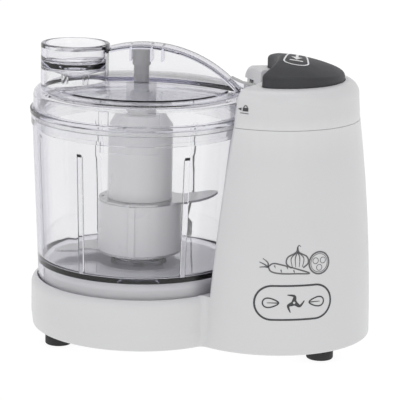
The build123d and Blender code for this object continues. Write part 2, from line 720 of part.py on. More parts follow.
with BuildPart() as commutator:
    with BuildSketch(Plane.XY.offset(BRUSH_Z - 8)):
        with Locations((MOTOR_X, 0)):
            Circle(COMMUTATOR_R)
            Circle(SHAFT_R, mode=Mode.SUBTRACT)
            with PolarLocations(COMMUTATOR_R, 10):
                Rectangle(1.6, 0.5, mode=Mode.SUBTRACT)
    extrude(amount=7.2)
finish(commutator.part, "commutator")

FAN_Z = 25.0
FAN_H = 4.6
with BuildPart() as cooling_fan:
    add(tube(MOTOR_X, SHAFT_R, 5.0, FAN_Z, FAN_Z + FAN_H))
    add(tube(MOTOR_X, SHAFT_R, 15.0, FAN_Z, FAN_Z + 1.0))
    with BuildSketch(Plane.XY.offset(FAN_Z)):
        with Locations((MOTOR_X, 0)):
            with PolarLocations(9.8, 9):
                Rectangle(10.4, 1.0)
    extrude(amount=FAN_H)
finish(cooling_fan.part, "cooling_fan")


def ribbed_pulley(x, bore, radius, hub_r):
    """Pulley with four belt grooves between two flanges."""
    half = BELT_W / 2
    low = BELT_Z - half
    pitch = BELT_W / 4
    points = [(bore, low - 1.4), (radius + 1.6, low - 1.4), (radius + 1.6, low - 0.3), (radius, low - 0.3)]
    for i in range(4):
        points += [
            (radius, low + pitch * i + 0.3),
            (radius - 0.8, low + pitch * (i + 0.5)),
            (radius, low + pitch * (i + 1) - 0.3),
        ]
    top = BELT_Z + half
    points += [(radius, top + 0.3), (radius + 1.6, top + 0.3), (radius + 1.6, top + 1.4), (bore, top + 1.4)]
    wheel = spun(x, points)
    if hub_r:
        waste = tube(x, hub_r, radius - 4, low - 2, top + 2)
        web = tube(x, hub_r - 1, radius - 3, BELT_Z - 1.2, BELT_Z + 1.2)
        with BuildPart() as lightened:
            add(wheel)
            add(waste, mode=Mode.SUBTRACT)
            add(web)
            with BuildSketch(Plane.XY.offset(BELT_Z - 2)):
                with Locations((x, 0)):
                    with PolarLocations((radius + hub_r) / 2 - 2, 6):
                        Circle((radius - hub_r) / 4)
            extrude(amount=4, mode=Mode.SUBTRACT)
        wheel = lightened.part
    return wheel


motor_pulley = ribbed_pulley(MOTOR_X, SHAFT_R, SMALL_PULLEY_R, 0)
finish(motor_pulley, "motor_pulley")
spindle_pulley = ribbed_pulley(BOWL_X, SPINDLE_R, BIG_PULLEY_R, 8.0)
finish(spindle_pulley, "spindle_pulley")


def belt_loop(grow, bottom, height):
    with BuildPart() as loop:
        with BuildSketch(Plane.XY.offset(bottom)):
            with Locations((BOWL_X, 0)):
                Circle(BIG_PULLEY_R + grow)
            with Locations((MOTOR_X, 0)):
                Circle(SMALL_PULLEY_R + grow)
            make_hull()
        extrude(amount=height)
    return loop.part


with BuildPart() as drive_belt:
    add(belt_loop(BELT_GAP + BELT_T, BELT_Z - BELT_W / 2, BELT_W))
    add(belt_loop(BELT_GAP, BELT_Z - BELT_W / 2 - 1, BELT_W + 2), mode=Mode.SUBTRACT)
finish(drive_belt.part, "drive_belt")

with BuildPart() as spindle_bushes:
    for z in (LOBE_CEILING + 0.2, BOSS_TOP - 4):
        add(tube(BOWL_X, SPINDLE_R + RUNNING, BUSH_R - 0.02, z, z + 5))
finish(spindle_bushes.part, "spindle_bushes")

SPINDLE_FOOT = 11.0
SPINDLE_TOP = 60.0
drive_spindle = spun(BOWL_X, [
    (0, SPINDLE_FOOT), (SPINDLE_R - 0.5, SPINDLE_FOOT), (SPINDLE_R, SPINDLE_FOOT + 0.5),
    (SPINDLE_R, SPINDLE_TOP), (0, SPINDLE_TOP)])
finish(drive_spindle, "drive_spindle")

with BuildPart() as pulley_nut:
    with BuildSketch(level(BOWL_X, SPINDLE_FOOT + 0.3)):
        RegularPolygon(5.2, 6)
        Circle(SPINDLE_R, mode=Mode.SUBTRACT)
    extrude(amount=BELT_Z - BELT_W / 2 - 1.4 - SPINDLE_FOOT - 0.4)
finish(pulley_nut.part, "pulley_nut")

with BuildPart() as circlip:
    with BuildSketch(level(BOWL_X, BOSS_TOP + 1.8)):
        Circle(5.0)
        Circle(SPINDLE_R, mode=Mode.SUBTRACT)
        with Locations((4, 0)):
            Rectangle(4, 3, mode=Mode.SUBTRACT)
    extrude(amount=0.8)
finish(circlip.part, "circlip")

HEX_R = 5.4
HEX_Z = HUB_FOOT_Z + 1.5
HEX_TOP = SPINDLE_TOP + 3
with BuildPart() as drive_coupling:
    with BuildSketch(level(BOWL_X, HEX_Z)):
        RegularPolygon(HEX_R, 6)
    extrude(amount=HEX_TOP - HEX_Z)
    chamfer(drive_coupling.faces().sort_by(Axis.Z)[-1].edges(), 0.8)
    add(rods([(BOWL_X, 0)], HEX_Z - 1, SPINDLE_TOP, SPINDLE_R), mode=Mode.SUBTRACT)
finish(drive_coupling.part, "drive_coupling")

# ---------------------------------------------------------------- circuit board
with BuildPart() as circuit_board:
    with BuildSketch(level(BOARD_X, BOARD_Z, BOARD_Y + BOARD_T / 2)):
        Rectangle(BOARD_L, BOARD_T)
    extrude(amount=BOARD_H)
finish(circuit_board.part, "circuit_board")

with BuildPart() as bridge_rectifier:
    with BuildSketch(level(BOARD_X - 7, BOARD_Z + 6, BOARD_Y - 2.1)):
        Rectangle(10, 4.0)
    extrude(amount=8)
    fillet(bridge_rectifier.edges().filter_by(Axis.Y), 0.8)
finish(bridge_rectifier.part, "bridge_rectifier")

with BuildPart() as suppression_capacitor:
    with BuildSketch(level(BOARD_X - 6, BOARD_Z + 19, BOARD_Y - 3.1)):
        Rectangle(13, 6.0)
    extrude(amount=11)
    fillet(suppression_capacitor.edges().filter_by(Axis.Y), 1.0)
finish(suppression_capacitor.part, "suppression_capacitor")

# ---------------------------------------------------------------- bowl
RIM_T = 2.0
SEAL_LEDGE = 123.4
RIB_TOP = 112.0
RIB_COUNT = 6
RIB_ANGLE = 1.5  # degrees from the X axis to the first rib

with BuildPart() as bowl:
    add(spun(BOWL_X, [
        (bowl_r(BOWL_FOOT_Z), BOWL_FOOT_Z), (bowl_r(COLLAR_Z), COLLAR_Z), (COLLAR_R, COLLAR_Z),
        (COLLAR_R, BOWL_TOP_Z), (COLLAR_R - RIM_T, BOWL_TOP_Z), (COLLAR_R - RIM_T, SEAL_LEDGE),
        (bowl_r(SEAL_LEDGE) - CLEAR_WALL, SEAL_LEDGE),
        (bowl_r(BOWL_FLOOR_Z) - CLEAR_WALL, BOWL_FLOOR_Z), (TUBE_R, BOWL_FLOOR_Z),
        (TUBE_R - 0.4, TUBE_TOP), (TUBE_R - 1.8, TUBE_TOP),
        (TUBE_R - 1.8, BOWL_FLOOR_Z - CLEAR_WALL),
        (bowl_r(BOWL_FLOOR_Z) - CLEAR_WALL, BOWL_FLOOR_Z - CLEAR_WALL),
        (bowl_r(BOWL_FOOT_Z) - CLEAR_WALL, BOWL_FOOT_Z)],
        [(bowl_r(BOWL_FLOOR_Z) - CLEAR_WALL, BOWL_FLOOR_Z), (TUBE_R, BOWL_FLOOR_Z)], 2.5))
    # mixing ribs down the inside of the wall
    for rib in range(RIB_COUNT):
        low = bowl_r(BOWL_FLOOR_Z) - CLEAR_WALL
        high = bowl_r(RIB_TOP) - CLEAR_WALL
        with BuildSketch(radial(BOWL_X, RIB_ANGLE + rib * 360 / RIB_COUNT)):
            with BuildLine():
                Polyline(
                    (low - 1.5, BOWL_FLOOR_Z - 1), (low + 1, BOWL_FLOOR_Z - 1),
                    (high + 1, RIB_TOP), (high + 0.2, RIB_TOP), (high - 1.5, RIB_TOP - 2),
                    close=True)
            make_face()
        extrude(amount=1.4, both=True)
    # locking key on the foot of the bowl: an upright leg and a level leg
    for start, sweep, bottom, top in ((-98, 8, 29.5, 33.5), (-106, 8.5, 29.5, 31.5)):
        foot_r = bowl_r(31) - CLEAR_WALL
        add(sector(foot_r - 0.5, foot_r + 1, start, sweep, bottom, top))
    # stiffening pad under the collar at the front
    add(sector(bowl_r(COLLAR_Z) - 1, COLLAR_R - 0.1, -105, 30, COLLAR_Z - 6, COLLAR_Z + 1))
finish(bowl.part, "bowl")

lid_seal = tube(BOWL_X, COLLAR_R - RIM_T - 2.2, COLLAR_R - RIM_T - 0.2, SEAL_LEDGE + 0.2, 125.8)
finish(lid_seal, "lid_seal")

# ---------------------------------------------------------------- lid
LID_PLUG_R = 55.1
LID_IN_R = LID_WALL_R - LID_T
ARCH_Z = ARCH_TOP - ARCH_R
POST_PIN_R = 4.95
POST_PIN_STEP = 152.5
CUP_CENTRE = BOWL_X + CUP_X
CUP_IN_R = 17.0

with BuildPart() as lid_shell:
    with BuildSketch(section(BOWL_X)) as lid_outline:
        with BuildLine():
            ThreePointArc((0, LID_DOME_Z), (25, 143.3), (LID_DOME_R, 141.0))
            Polyline(
                (LID_DOME_R, 141.0), (LID_DOME_R + 0.6, 140.2), (LID_WALL_R, 139.8),
                (LID_WALL_R, LID_FLANGE_TOP), (RIM_R, LID_FLANGE_TOP), (RIM_R, LID_FLANGE_Z),
                (LID_PLUG_R, LID_FLANGE_Z), (LID_PLUG_R, 117.5), (LID_PLUG_R - 2, 117.5),
                (LID_PLUG_R - 2, 128.4), (LID_IN_R, 129.2), (LID_IN_R, 137.6),
                (LID_DOME_R - 0.4, 138.6))
            ThreePointArc((LID_DOME_R - 0.4, 138.6), (25, 141.1), (0, LID_DOME_Z - LID_T))
            Line((0, LID_DOME_Z - LID_T), (0, LID_DOME_Z))
        make_face()
        fillet(lid_outline.vertices().sort_by_distance((LID_WALL_R, 139.8, 0))[0], 4.2)
        fillet(lid_outline.vertices().sort_by_distance((LID_IN_R, 137.6, 0))[0], 2.2)
        fillet(lid_outline.vertices().sort_by_distance((RIM_R, LID_FLANGE_TOP, 0))[0], 0.8)
    revolve(axis=upright(BOWL_X))

cup_tube = tube(CUP_CENTRE, CUP_IN_R, CUP_R, 138.0, 160.0)
with BuildPart() as cup:
    with BuildSketch(section(CUP_CENTRE)) as cup_outline:
        with BuildLine():
            Polyline(
                (0, 145.0), (6.5, 145.0), (CUP_IN_R, 152.2), (CUP_IN_R, 146.5), (CUP_R, 146.5),
                (CUP_R, CUP_TOP), (16.5, CUP_TOP), (15.9, 160.5), (16.3, 154.4), (6.0, 146.8),
                (0, 146.8), close=True)
        make_face()
        for r, z, rounding in (
                (CUP_R, CUP_TOP, 0.9), (16.5, CUP_TOP, 0.9), (16.3, 154.4, 4.0), (CUP_IN_R, 152.2, 2.0)):
            fillet(cup_outline.vertices().sort_by_distance((r, z, 0))[0], rounding)
    revolve(axis=upright(CUP_CENTRE))
drips = [(CUP_CENTRE - 5.8, 0.6), (CUP_CENTRE + 5.8, 0.6)]


def arch_block(half_width, radius, x0, bottom):
    """Fin with an arched top, standing along X over the lid."""
    with BuildPart() as block:
        with BuildSketch(section(BOWL_X)):
            with Locations((ARCH_X, ARCH_Z)):
                Circle(radius)
            with Locations((x0 - 60, 0)):
                Rectangle(120, 400, mode=Mode.SUBTRACT)
            with Locations((0, bottom - 200)):
                Rectangle(400, 400, mode=Mode.SUBTRACT)
        extrude(amount=half_width, both=True)
    return block.part


with BuildPart() as under_dome:
    with BuildSketch(section(BOWL_X)):
        with BuildLine():
            ThreePointArc((LID_DOME_R - 0.4, 138.6), (25, 141.1), (0, LID_DOME_Z - LID_T))
            Polyline(
                (0, LID_DOME_Z - LID_T), (0, 130), (LID_DOME_R - 0.4, 130), (LID_DOME_R - 0.4, 138.6))
        make_face()
    revolve(axis=upright(BOWL_X))

with BuildPart() as arch_hollow:
    add(arch_block(ARCH_W / 2 - ARCH_T, ARCH_R - ARCH_T, CUP_X + CUP_R - 1.2, 136.0))
    # cross walls that hold the bearing post, and one stiffening wall
    with BuildSketch(Plane(origin=(BOWL_X, 0, 155), z_dir=(0, 0, 1))):
        for x in (-POST_PIN_R - 0.65, POST_PIN_R + 0.65, 11.5):
            with Locations((x, 0)):
                Rectangle(1.2, ARCH_W)
    extrude(amount=10, mode=Mode.SUBTRACT)

with BuildPart() as lid:
    add(lid_shell.part)
    add(cup_tube)
    add(arch_block(ARCH_W / 2, ARCH_R, CUP_X + CUP_IN_R + 0.6, 140.0))
    fillet([e for e in lid.edges() if abs(abs(e.center().Y) - ARCH_W / 2) < 0.01
            and e.geom_type == GeomType.CIRCLE and e.radius > 60], 1.6)
    # locking tab that reaches into the pocket of the tower
    with BuildSketch(section(BOWL_X)):
        with BuildLine():
            Polyline(
                (49, 140.4), (49, 147.0), (55, 144.4), (TAB_R, 141.2), (TAB_R, 132.6),
                (TAB_R - 3, 132.6), (TAB_R - 3, 136.8), (57.4, 136.8), (57.4, 140.4), close=True)
        make_face()
    extrude(amount=TAB_W / 2, both=True)
    add(under_dome.part, mode=Mode.SUBTRACT)
    add(rods([(CUP_CENTRE, 0)], 136, 160, CUP_IN_R), mode=Mode.SUBTRACT)
    add(cup.part)
    add(rods(drips, 140.0, 147.0, 1.9))
    add(rods(drips, 139.0, 148.0, 0.9), mode=Mode.SUBTRACT)
    add(arch_hollow.part, mode=Mode.SUBTRACT)
    # two grip lugs low on the front of the lid
    for start, width in ((-106, 5), (-81, 6)):
        add(sector(LID_WALL_R - 1, LID_WALL_R + 0.9, start, width, LID_FLANGE_TOP - 0.1, 136.5))
finish(lid.part, "lid")

with BuildPart() as bearing_post:
    add(rods([(BOWL_X, 0)], POST_PIN_STEP, ARCH_TOP - ARCH_T - 0.6, POST_PIN_R))
    add(rods([(BOWL_X, 0)], 131.0, POST_PIN_STEP, 4.2))
    chamfer(bearing_post.edges().group_by(Axis.Z)[0], 0.8)
finish(bearing_post.part, "bearing_post")

# ---------------------------------------------------------------- chopping blades
BLADE_TOP_Z = HUB_WAIST_Z + 0.1
CLAMP_Z = BLADE_TOP_Z + BLADE_T + 0.1
LOW_BLADE_Z = HUB_FOOT_Z - BLADE_T - 0.1
HUB_BOSSES = [(BOWL_X - 12.3, 0), (BOWL_X + 12.3, 0)]

with BuildPart() as hub_skirt:
    add(spun(BOWL_X, [
        (HUB_R - 2.2, HUB_FOOT_Z), (HUB_R, HUB_FOOT_Z), (HUB_R, HUB_WAIST_Z), (0, HUB_WAIST_Z),
        (0, HUB_WAIST_Z - 3), (HUB_R - 2.2, HUB_WAIST_Z - 3)]))
    add(tube(BOWL_X, 0, 9.2, HUB_FOOT_Z + 1, HUB_WAIST_Z - 2))
    with BuildSketch(level(BOWL_X, HUB_FOOT_Z)):
        RegularPolygon(HEX_R + 0.3, 6)
    extrude(amount=HEX_TOP + 1 - HUB_FOOT_Z, mode=Mode.SUBTRACT)
    # grip ribs round the outside
    with BuildSketch(Plane.XY.offset(HUB_FOOT_Z)):
        with Locations((BOWL_X, 0)):
            with PolarLocations(HUB_R - 0.2, 3, start_angle=-94.9):
                Rectangle(1.6, 3.4)
    extrude(amount=HUB_WAIST_Z - HUB_FOOT_Z)
    add(rods(HUB_BOSSES, HUB_WAIST_Z - 5, HUB_WAIST_Z + 1, SCREW_R + 0.2), mode=Mode.SUBTRACT)
finish(hub_skirt.part, "hub_skirt")

with BuildPart() as hub_post:
    add(spun(BOWL_X, [
        (POST_R - 2.4, CLAMP_Z), (POST_R, CLAMP_Z), (POST_R, POST_SHOULDER_Z), (13.5, POST_TOP),
        (0, POST_TOP), (0, POST_TOP - 2.4), (12.2, POST_TOP - 2.4), (POST_R - 2.4, 118.2)]))
    add(rods(HUB_BOSSES, CLAMP_Z, CLAMP_Z + 16, 3.3))
    add(rods(HUB_BOSSES, CLAMP_Z - 1, CLAMP_Z + 12, SCREW_R + THREAD_GAP), mode=Mode.SUBTRACT)
finish(hub_post.part, "hub_post")

with BuildPart() as hub_stem:
    add(tube(BOWL_X, 4.3, STEM_R, POST_TOP + 0.05, STEM_TOP))
    chamfer(hub_stem.edges().group_by(Axis.Z)[-1], 0.6)
finish(hub_stem.part, "hub_stem")

hub_screws = screws(HUB_BOSSES, HUB_WAIST_Z - 3, 14)
finish(hub_screws, "hub_screws")


def blade(z, turned, hole_r):
    """Flat ring with one curved cutting arm."""
    with BuildPart() as steel:
        with BuildSketch(Plane(origin=(BOWL_X, 0, z)).rotated((0, 0, turned))):
            Circle(HUB_R - 0.2)
            with BuildLine():
                Spline((17.5, -13.5), (28, -7.6), (36.5, 2.5), (42.4, 19))
                Spline((42.4, 19), (41.6, 21.4), (38.5, 21.8))
                Spline((38.5, 21.8), (33, 18.6), (26.5, 12.6), (18, 12.5))
                Line((18, 12.5), (17.5, -13.5))
            make_face()
            Circle(hole_r, mode=Mode.SUBTRACT)
            with PolarLocations(POST_R + 2.4, 5, start_angle=40):
                Circle(0.9, mode=Mode.SUBTRACT)
        extrude(amount=BLADE_T)
    return steel.part


finish(blade(BLADE_TOP_Z, 0, 14.3), "upper_blade")
finish(blade(LOW_BLADE_Z, 168, 15.6), "lower_blade")
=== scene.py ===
"""Looks for the mini food processor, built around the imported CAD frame. All lengths in metres."""

import math

import bmesh
import bpy
from mathutils import Matrix, Vector
from mathutils.bvhtree import BVHTree


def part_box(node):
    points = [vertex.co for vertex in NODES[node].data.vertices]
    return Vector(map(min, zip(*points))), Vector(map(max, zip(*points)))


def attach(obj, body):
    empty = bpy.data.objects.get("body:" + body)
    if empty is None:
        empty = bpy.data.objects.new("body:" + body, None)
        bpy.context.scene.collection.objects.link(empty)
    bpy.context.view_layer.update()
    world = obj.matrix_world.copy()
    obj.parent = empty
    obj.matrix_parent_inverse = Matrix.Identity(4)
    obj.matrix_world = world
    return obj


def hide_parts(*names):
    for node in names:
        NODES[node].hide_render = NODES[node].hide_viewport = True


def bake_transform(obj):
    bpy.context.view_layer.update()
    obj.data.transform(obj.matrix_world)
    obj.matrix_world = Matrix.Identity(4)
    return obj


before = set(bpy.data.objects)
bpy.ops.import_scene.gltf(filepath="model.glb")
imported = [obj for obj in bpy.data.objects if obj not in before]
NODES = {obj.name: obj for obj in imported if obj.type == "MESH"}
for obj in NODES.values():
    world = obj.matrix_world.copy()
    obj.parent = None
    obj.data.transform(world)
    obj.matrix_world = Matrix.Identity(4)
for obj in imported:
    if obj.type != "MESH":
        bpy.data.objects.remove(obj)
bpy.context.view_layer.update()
MM = 0.001

# camera that frames the object from the front, slightly above
CAMERA_PLACE = (0.0787, -1.1256, 0.3406)
CAMERA_AIM = (-0.0009, 0.00235, 0.0773)
CAMERA_ROLL = math.radians(1.32)
LENS = 189.3
SENSOR_W = 36.0

# textures: patterns per metre, and how deep the bump goes
CLOUD_SCALE, SMUDGE_SCALE, GRAIN_STRENGTH = 22, 60, 0.25
FINE_DEPTH = 0.00002
SCRATCH_STRENGTH, SCRATCH_SHADE = 0.15, 0.82
HAZE_SCALE, CLEAR_CLOUD_SCALE, RIPPLE_SCALE, RIPPLE_STRENGTH, RIPPLE_DEPTH = 55, 30, 70, 0.04, 0.0002
PLASTIC_IOR = 1.5

# floor that glows by itself, so that it stays pale and still shows through the bowl
FLOOR_HALF, FLOOR_ALBEDO, FLOOR_GLOW = 30.0, 0.16, 0.9

# lamps: place, aim, size and power
LAMPS = {
    "left": ((-0.75, -0.9, 0.9), (0, 0, 0.08), (0.8, 0.8), 1.25),
    "right": ((0.75, -0.9, 0.9), (0, 0, 0.08), (0.8, 0.8), 1.2),
    "top": ((0.0, 0.1, 1.3), (0, 0, 0.1), (0.9, 0.6), 2.2),
}


# ---------------------------------------------------------------- where things are
def centre_of(node):
    low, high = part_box(node)
    return (low + high) / 2


BOWL_X = centre_of("drive_spindle").x
TOWER_X = centre_of("cord_gland").x


# ---------------------------------------------------------------- material helpers
def new_material(name):
    material = bpy.data.materials.new(name)
    material.use_nodes = True
    tree = material.node_tree
    shader = tree.nodes["Principled BSDF"]
    return material, tree, shader


def object_space(tree, scale):
    """Object coordinates stretched by a scale, for patterns that keep their real size."""
    coords = tree.nodes.new("ShaderNodeTexCoord")
    mapping = tree.nodes.new("ShaderNodeMapping")
    mapping.inputs["Scale"].default_value = scale
    tree.links.new(coords.outputs["Object"], mapping.inputs["Vector"])
    return mapping.outputs["Vector"]


def noise(tree, vector, scale, detail=3.0, roughness=0.5):
    node = tree.nodes.new("ShaderNodeTexNoise")
    node.inputs["Scale"].default_value = scale
    node.inputs["Detail"].default_value = detail
    node.inputs["Roughness"].default_value = roughness
    tree.links.new(vector, node.inputs["Vector"])
    return node.outputs["Fac"]


def spread(tree, value, low, high, at=(0.3, 0.7)):
    """Maps a 0 to 1 pattern to a range."""
    node = tree.nodes.new("ShaderNodeMapRange")
    node.inputs["From Min"].default_value, node.inputs["From Max"].default_value = at
    node.inputs["To Min"].default_value, node.inputs["To Max"].default_value = low, high
    tree.links.new(value, node.inputs["Value"])
    return node.outputs["Result"]


def blend_colours(tree, factor, first, second):
    node = tree.nodes.new("ShaderNodeMix")
    node.data_type = "RGBA"
    node.inputs["A"].default_value = (*first, 1)
    node.inputs["B"].default_value = (*second, 1)
    tree.links.new(factor, node.inputs["Factor"])
    return node.outputs["Result"]


def bump(tree, shader, height, strength, distance):
    node = tree.nodes.new("ShaderNodeBump")
    node.inputs["Strength"].default_value = strength
    node.inputs["Distance"].default_value = distance
    tree.links.new(height, node.inputs["Height"])
    tree.links.new(node.outputs["Normal"], shader.inputs["Normal"])


def worn_edges(tree, shader, colour_socket, worn, amount):
    """Lightens the sharp outer edges, where handling polishes them."""
    geometry = tree.nodes.new("ShaderNodeNewGeometry")
    edge = spread(tree, geometry.outputs["Pointiness"], 0.0, amount, (0.52, 0.60))
    node = tree.nodes.new("ShaderNodeMix")
    node.data_type = "RGBA"
    tree.links.new(edge, node.inputs["Factor"])
    tree.links.new(colour_socket, node.inputs["A"])
    node.inputs["B"].default_value = (*worn, 1)
    tree.links.new(node.outputs["Result"], shader.inputs["Base Color"])


def moulded(name, colour, shade=0.94, roughness=(0.3, 0.4), grain=1600, grain_depth=FINE_DEPTH,
            worn=None):
    """Opaque moulded plastic: faint clouding, a fine spark-eroded grain and polished edges."""
    material, tree, shader = new_material(name)
    space = object_space(tree, (1, 1, 1))
    clouds = noise(tree, space, CLOUD_SCALE, 4)
    darker = tuple(c * shade for c in colour)
    tint = blend_colours(tree, spread(tree, clouds, 0, 1), darker, colour)
    if worn:
        worn_edges(tree, shader, tint, worn, 0.5)
    else:
        tree.links.new(tint, shader.inputs["Base Color"])
    smudges = noise(tree, space, SMUDGE_SCALE, 5, 0.6)
    tree.links.new(spread(tree, smudges, *roughness), shader.inputs["Roughness"])
    bump(tree, shader, noise(tree, space, grain, 2), GRAIN_STRENGTH, grain_depth)
    return material


def metal(name, colour, roughness=(0.2, 0.36), stretch=(1, 1, 1), scratches=900):
    """Metal with fine scratches drawn out along one direction."""
    material, tree, shader = new_material(name)
    shader.inputs["Metallic"].default_value = 1.0
    space = object_space(tree, stretch)
    lines = noise(tree, space, scratches, 3, 0.7)
    darker = tuple(c * SCRATCH_SHADE for c in colour)
    tint = blend_colours(tree, spread(tree, lines, 0, 1), darker, colour)
    tree.links.new(tint, shader.inputs["Base Color"])
    tree.links.new(spread(tree, lines, *roughness), shader.inputs["Roughness"])
    bump(tree, shader, lines, SCRATCH_STRENGTH, FINE_DEPTH)
    return material


THROUGH = (0.99, 0.99, 0.99)  # what each clear surface lets through of lamps and bounced light


def clear(name, colour, rim, body, density, roughness=(0.015, 0.05)):
    """Clear moulded plastic: faint handling haze, a tint that deepens with thickness, and painted shade that
    darkens the rims.
    """
    material, tree, shader = new_material(name)
    shader.inputs["Transmission Weight"].default_value = 1.0
    shader.inputs["IOR"].default_value = PLASTIC_IOR
    space = object_space(tree, (1, 1, 1))
    darker = tuple(c * 0.985 for c in colour)
    tint = blend_colours(tree, spread(tree, noise(tree, space, CLEAR_CLOUD_SCALE, 3), 0, 1), darker, colour)
    # painted shade: the colour darkens towards the rim colour where the surface is seen at a grazing angle,
    # standing in for the dark surroundings seen through the edges
    rim_shade_mask = tree.nodes.new("ShaderNodeLayerWeight")
    rim_shade_mask.inputs["Blend"].default_value = 0.5
    edge = tree.nodes.new("ShaderNodeMix")
    edge.data_type = "RGBA"
    edge.inputs["B"].default_value = (*rim, 1)
    tree.links.new(spread(tree, rim_shade_mask.outputs["Facing"], 0, 1, (0.5, 1.0)), edge.inputs["Factor"])
    tree.links.new(tint, edge.inputs["A"])
    tree.links.new(edge.outputs["Result"], shader.inputs["Base Color"])
    haze = noise(tree, space, HAZE_SCALE, 5, 0.65)
    tree.links.new(spread(tree, haze, *roughness, at=(0.45, 0.8)), shader.inputs["Roughness"])
    bump(tree, shader, noise(tree, space, RIPPLE_SCALE, 2), RIPPLE_STRENGTH, RIPPLE_DEPTH)
    # lamps and bounced light pass straight through the thin walls
    path = tree.nodes.new("ShaderNodeLightPath")
    straight = tree.nodes.new("ShaderNodeBsdfTransparent")
    straight.inputs["Color"].default_value = (*THROUGH, 1)
    either = tree.nodes.new("ShaderNodeMath")
    either.operation = "MAXIMUM"
    tree.links.new(path.outputs["Is Shadow Ray"], either.inputs[0])
    tree.links.new(path.outputs["Is Diffuse Ray"], either.inputs[1])
    mix = tree.nodes.new("ShaderNodeMixShader")
    tree.links.new(either.outputs[0], mix.inputs["Fac"])
    tree.links.new(shader.outputs["BSDF"], mix.inputs[1])
    tree.links.new(straight.outputs["BSDF"], mix.inputs[2])
    tree.links.new(mix.outputs["Shader"], tree.nodes["Material Output"].inputs["Surface"])
    absorb = tree.nodes.new("ShaderNodeVolumeAbsorption")
    absorb.inputs["Color"].default_value = (*body, 1)
    absorb.inputs["Density"].default_value = density
    tree.links.new(absorb.outputs["Volume"], tree.nodes["Material Output"].inputs["Volume"])
    return material


def paint(node, material):
    mesh = NODES[node].data
    mesh.materials.clear()
    mesh.materials.append(material)


WHITE = moulded("white_moulding", (0.63, 0.63, 0.635), 0.975, (0.32, 0.42), worn=(0.7, 0.7, 0.7))
# the third colour is the painted shade at the rims of the clear mouldings
CLEAR = clear("clear_moulding", (0.965, 0.966, 0.96), (0.28, 0.265, 0.39), (0.47, 0.46, 0.62), 40.0)
BUTTON = moulded("dark_moulding", (0.028, 0.029, 0.033), 0.85, (0.5, 0.62), worn=(0.06, 0.06, 0.07))
HUB = moulded("hub_moulding", (0.63, 0.63, 0.635), 0.975, (0.25, 0.38), worn=(0.7, 0.7, 0.7))
GREY = moulded("grey_moulding", (0.29, 0.29, 0.3), 0.9, (0.35, 0.5), worn=(0.34, 0.34, 0.34))
SOFT_INK = moulded("soft_print", (0.12, 0.12, 0.125), 0.9, (0.45, 0.55))
INK = moulded("dark_print", (0.045, 0.046, 0.05), 0.85, (0.45, 0.55))
PALE_INK = moulded("pale_print", (0.8, 0.8, 0.8), 0.96, (0.45, 0.55))
STEM = moulded("stem_moulding", (0.55, 0.55, 0.56), 0.95, (0.3, 0.42), worn=(0.65, 0.65, 0.65))
RUBBER = moulded("foot_rubber", (0.008, 0.008, 0.009), 0.7, (0.6, 0.8), 900, 0.00005, worn=(0.06, 0.06, 0.06))
BLACK = moulded("black_moulding", (0.03, 0.03, 0.033), 0.8, (0.4, 0.55), worn=(0.08, 0.08, 0.08))
# the third colour is the painted shade at the rims of the clear silicone
SILICONE = clear("clear_silicone", (0.97, 0.97, 0.97), (0.8, 0.8, 0.84), (0.5, 0.5, 0.6), 30.0, (0.12, 0.25))
BLADE = metal("blade_steel", (0.62, 0.62, 0.63), (0.22, 0.36), (1, 14, 1))
ZINC = metal("zinc_steel", (0.6, 0.61, 0.64), (0.28, 0.45))
SHAFT = metal("shaft_steel", (0.42, 0.42, 0.44), (0.2, 0.3), (1, 1, 12))
CAN = metal("can_steel", (0.5, 0.5, 0.52), (0.35, 0.5))
CORE = metal("core_steel", (0.25, 0.25, 0.26), (0.4, 0.6), (1, 1, 40))
COPPER = metal("copper_wire", (0.72, 0.33, 0.16), (0.25, 0.4), (1, 1, 30))
BRONZE = metal("bronze", (0.55, 0.4, 0.2), (0.4, 0.55))
FERRITE = moulded("ferrite", (0.06, 0.06, 0.062), 0.7, (0.6, 0.8), 700, 0.00006)
CARBON = moulded("carbon", (0.03, 0.03, 0.03), 0.7, (0.5, 0.7), 900, 0.00005)
NYLON = moulded("nylon", (0.7, 0.67, 0.6), 0.9, (0.4, 0.55))
BELT = moulded("belt_rubber", (0.02, 0.02, 0.02), 0.7, (0.6, 0.8), 900, 0.00005)
LAMINATE = moulded("board_laminate", (0.3, 0.19, 0.08), 0.8, (0.45, 0.6))

PAINTS = {
    "base_housing": WHITE, "top_cap": WHITE, "bottom_cover": WHITE, "interlock_plunger": WHITE,
    "cap_screws": ZINC, "cover_screws": ZINC, "motor_plate": ZINC, "mount_screws": ZINC,
    "motor_screws": ZINC, "pulley_nut": ZINC, "hub_screws": ZINC, "rubber_feet": RUBBER,
    "mount_grommets": RUBBER, "cord_gland": BLACK, "switch_bracket": BLACK, "microswitch": BLACK,
    "interlock_switch": BLACK, "brush_cap": BLACK, "bridge_rectifier": BLACK, "cooling_fan": BLACK,
    "motor_can": CAN, "motor_magnets": FERRITE, "motor_bearings": BRONZE, "spindle_bushes": BRONZE,
    "carbon_brushes": CARBON, "drive_belt": BELT, "circuit_board": LAMINATE,
    "suppression_capacitor": GREY, "button_spring": SHAFT, "pulse_button": BUTTON,
    "motor_shaft": SHAFT, "armature": CORE, "rotor_windings": COPPER, "commutator": COPPER,
    "motor_pulley": NYLON, "spindle_pulley": NYLON, "drive_spindle": SHAFT, "circlip": SHAFT,
    "drive_coupling": GREY, "bowl": CLEAR, "lid": CLEAR, "lid_seal": SILICONE,
    "bearing_post": GREY, "hub_skirt": HUB, "hub_post": HUB, "hub_stem": STEM,
    "upper_blade": BLADE, "lower_blade": BLADE,
}
for node, material in PAINTS.items():
    paint(node, material)


# ---------------------------------------------------------------- the button's spring
def make_spring():
    """The button's spring, copied from its part with the placing baked in; the part itself is hidden."""
    spring = bpy.data.objects.new("coil_spring", NODES["button_spring"].data.copy())
    bpy.context.scene.collection.objects.link(spring)
    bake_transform(spring)
    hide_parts("button_spring")


make_spring()


